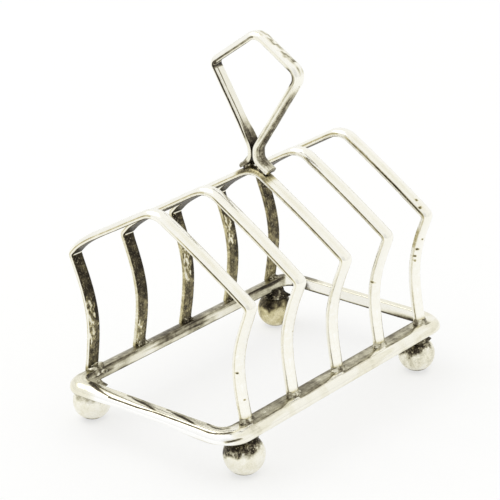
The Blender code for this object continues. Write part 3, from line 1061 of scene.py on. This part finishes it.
def collar(name, base, top, half_x, half_y, spread, darkness, seed, round_side=0.0):
    """A lumpy fillet round a joint: wide at base, hugging a half_x by half_y bar at top.

    round_side is the sign of the side, along Y, on which the bar is domed; 0 for a bar without one."""
    turns = np.linspace(0.0, 2.0 * math.pi, COLLAR_SIDES, endpoint=False)
    circle = np.stack([np.cos(turns), np.sin(turns)], axis=1)
    rounded = np.sign(circle) * np.abs(circle) ** 0.62
    rounded[:, 0] *= 1.0 - 0.55 * np.clip(round_side * rounded[:, 1], 0.0, 1.0) ** 1.5
    verts, grime_and_painted_light = [], []
    last = COLLAR_RINGS - 1
    for ring in range(COLLAR_RINGS):
        share = ring / last
        probe = np.column_stack([circle, np.full(COLLAR_SIDES, share * 0.8)])
        swell = bumps(probe + seed, 0.62, seed)
        grow = spread * (1.0 - share) ** 2.2 * (1.0 + 0.45 * swell) + 0.0001
        grow -= 0.0004 * (ring == last)
        height = share * (1.0 + 0.20 * bumps(probe * np.array([1.0, 1.0, 0.0]) + seed, 0.7, seed + 1))
        place = np.array(base) + np.outer(height, np.array(top - base))
        place[:, 0] += rounded[:, 0] * (half_x + grow)
        place[:, 1] += rounded[:, 1] * (half_y + grow)
        verts.append(place)
        grime_and_painted_light.append(darkness + 0.30 * swell)
    faces = tube_faces(COLLAR_RINGS, COLLAR_SIDES)
    rim = list(range(COLLAR_SIDES))
    faces += [rim[::-1], [last * COLLAR_SIDES + k for k in rim]]
    solder_piece(name, np.vstack(verts), faces, np.concatenate(grime_and_painted_light))


# the collar round each foot: half its width, half its depth, how far it spreads on the frame
FOOT_HUG = {
    "right": (WIRE_W / 2.0, WIRE_T / 2.0, 0.0006),
    "left": (WIRE_W / 2.0 - 0.0004, WIRE_T * 0.3, 0.0004),
}
# how far from the wire's middle the two drops of each foot lie, along x and y: at the edges of the wire on
# the -Y side, on the flat face on the +Y side
DROP_PLACE = {"right": (WIRE_W / 2.0 - 0.0001, -0.0004), "left": (0.0011, WIRE_T / 2.0 + 0.0003)}
DROP_SIZES = (0.00085, 0.00065)
# the first arch's +Y foot got more solder than the others
GENEROUS = 1.8
# how dark the solder is at each arch's two feet
FOOT_DARKNESS = {"right": (0.68, 0.58, 0.50, 0.46, 0.60), "left": (0.45, 0.50, 0.66, 0.62, 0.66)}
for index in range(5):
    low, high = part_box(f"arch_{index + 1}")
    centre_x = (low.x + high.x) / 2.0
    for side_name, sign in (("right", -1.0), ("left", 1.0)):
        y = sign * (LEG_FOOT_Y + WIRE_T * 0.5)
        # on the +Y side the solder clings to the flat face and leaves the domed back clean
        inset = max(sign, 0.0) * 0.0005
        base_point = Vector((centre_x, y - inset, FRAME_TOP - 0.0003))
        top_point = Vector((centre_x, y - sign * 0.0002 - inset, FRAME_TOP + 0.0013))
        seed = 80 + index * 2 + int(sign > 0)
        darkness = FOOT_DARKNESS[side_name][index]
        collar(
            f"solder_arch_{index + 1}_{side_name}", base_point, top_point,
            *FOOT_HUG[side_name], darkness, seed, sign,
        )
        drop_x, drop_y = DROP_PLACE[side_name]
        for part, (way, size) in enumerate(zip((1.0, -1.0), DROP_SIZES)):
            size = size * (GENEROUS if (index, side_name) == (0, "left") else 1.0)
            lump(
                f"solder_drop_{index + 1}_{side_name}_{part + 1}",
                (centre_x + way * drop_x, y - drop_y, FRAME_TOP + 0.0001),
                (size * 1.15, size * 1.1, size * 0.70), darkness, seed + 200 + part,
            )

# the first arch's +Y foot stands in a puddle of solder that runs over the inner edge of the frame
lump(
    "solder_puddle", (FIRST_LEG_X - 0.0004, LEG_FOOT_Y - 0.0009, FRAME_TOP - 0.0008),
    (0.0025, 0.0011, 0.0012), 0.40, 140,
)
lump(
    "solder_puddle_run", (FIRST_LEG_X + 0.0020, LEG_FOOT_Y - 0.0012, FRAME_TOP - 0.0014),
    (0.0016, 0.0009, 0.0009), 0.50, 142,
)

# solder on top of each ball: half its width at the frame; how far it spreads and how dark it is
BALL_NECK = 0.0022
BALL_SOLDER = ((0.0010, 0.8), (0.0012, 0.42), (0.0012, 0.8), (0.0015, 0.95))
for number in range(4):
    low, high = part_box(f"foot_{number + 1}")
    shift_x, shift_y, smaller = BALLS[number][0]
    x, y = (low.x + high.x) / 2.0 + shift_x, (low.y + high.y) / 2.0 + shift_y
    base_point = Vector((x, y, high.z - 2.0 * smaller - 0.0010))
    top_point = Vector((x, y, frame_low.z + 0.0004))
    spread, darkness = BALL_SOLDER[number]
    collar(
        f"solder_foot_{number + 1}", base_point, top_point,
        BALL_NECK, BALL_NECK, spread, darkness, 100 + number,
    )

# solder between the handle's two feet and the slopes they lie on
tilt = math.atan(ROOF_SLOPE)
for side_name, sign, reach in (("right", -1.0, HANDLE_RIGHT_FOOT_Y), ("left", 1.0, HANDLE_LEFT_FOOT_Y)):
    y = sign * reach * 0.55
    z = FRAME_TOP + APEX_Z + WIRE_T * 1.15 - ROOF_SLOPE * abs(y)
    lump(
        f"solder_handle_{side_name}", (0.0, y, z), (WIRE_W * 0.42, reach * 0.46, 0.00085),
        0.72, 120 + int(sign > 0), -sign * tilt,
    )


# ---------------- floor, light, camera
def stage_material():
    """White paper that glows a little, as on a light table, which keeps its shadows pale."""
    mat, tree, shader = new_material("studio_paper")
    coords = new_node(tree, "TexCoord", {})
    cloud = noise_node(tree, coords.outputs["Object"], 3.0, 2.0)
    set_inputs(tree, shader, {
        "Base Color": ramp_node(tree, cloud, PAPER_STOPS),
        "Roughness": 0.9,
        "Specular IOR Level": 0.1,
        "Emission Color": (0.985, 0.985, 0.98, 1.0),
        "Emission Strength": PAPER_GLOW,
    })
    return mat


def floor():
    bm = bmesh.new()
    bmesh.ops.create_grid(bm, x_segments=8, y_segments=8, size=4.0)
    mesh = bpy.data.meshes.new("studio_floor")
    bm.to_mesh(mesh)
    bm.free()
    mesh.materials.append(stage_material())
    add_object("studio_floor", mesh)


def world_light():
    """A pale sky, a little dimmer in the dark room behind the camera."""
    world = bpy.data.worlds.new("studio")
    world.use_nodes = True
    bpy.context.scene.world = world
    tree = world.node_tree
    way = new_node(tree, "TexCoord", {}).outputs["Generated"]
    split = new_node(tree, "SeparateXYZ", {"Vector": way})
    sky = ramp_node(tree, range_node(tree, split.outputs["Z"], -0.1, 0.9), SKY_STOPS)
    toward = new_node(tree, "VectorMath", {0: way, 1: CAMERA_BACK}, operation="DOT_PRODUCT")
    room = range_node(tree, toward.outputs["Value"], 0.75, 0.99, 1.0, 0.82)
    shade = new_node(
        tree, "Mix", {"Factor": 1.0, "A": sky, "B": room}, data_type="RGBA", blend_type="MULTIPLY",
    )
    inputs = {"Strength": WORLD_STRENGTH, "Color": shade.outputs["Result"]}
    set_inputs(tree, tree.nodes["Background"], inputs)


def key_light():
    """Stands behind the rack and to the left, so that the shadows fall softly to the right."""
    light = bpy.data.lights.new("key", "AREA")
    light.shape = "SQUARE"
    light.size = KEY_SIZE
    light.energy = KEY_POWER
    lamp = add_object("key", light)
    lamp.location = KEY_PLACE
    lamp.rotation_euler = (-lamp.location).to_track_quat("-Z", "Y").to_euler()


def camera():
    data = bpy.data.cameras.new("camera")
    data.lens = CAMERA_LENS
    data.sensor_width = SENSOR_WIDTH
    data.clip_start = 0.01
    data.clip_end = 20.0
    right = UP.cross(CAMERA_BACK).normalized()
    up = CAMERA_BACK.cross(right)
    rolled_right = right * math.cos(CAMERA_ROLL) + up * math.sin(CAMERA_ROLL)
    turn = Matrix((rolled_right, CAMERA_BACK.cross(rolled_right), CAMERA_BACK)).transposed()
    obj = add_object("camera", data)
    obj.matrix_world = Matrix.Translation(CAMERA_AIM + CAMERA_BACK * CAMERA_DISTANCE) @ turn.to_4x4()
    bpy.context.scene.camera = obj


floor()
world_light()
key_light()
camera()
bpy.context.scene.view_settings.view_transform = "Standard"
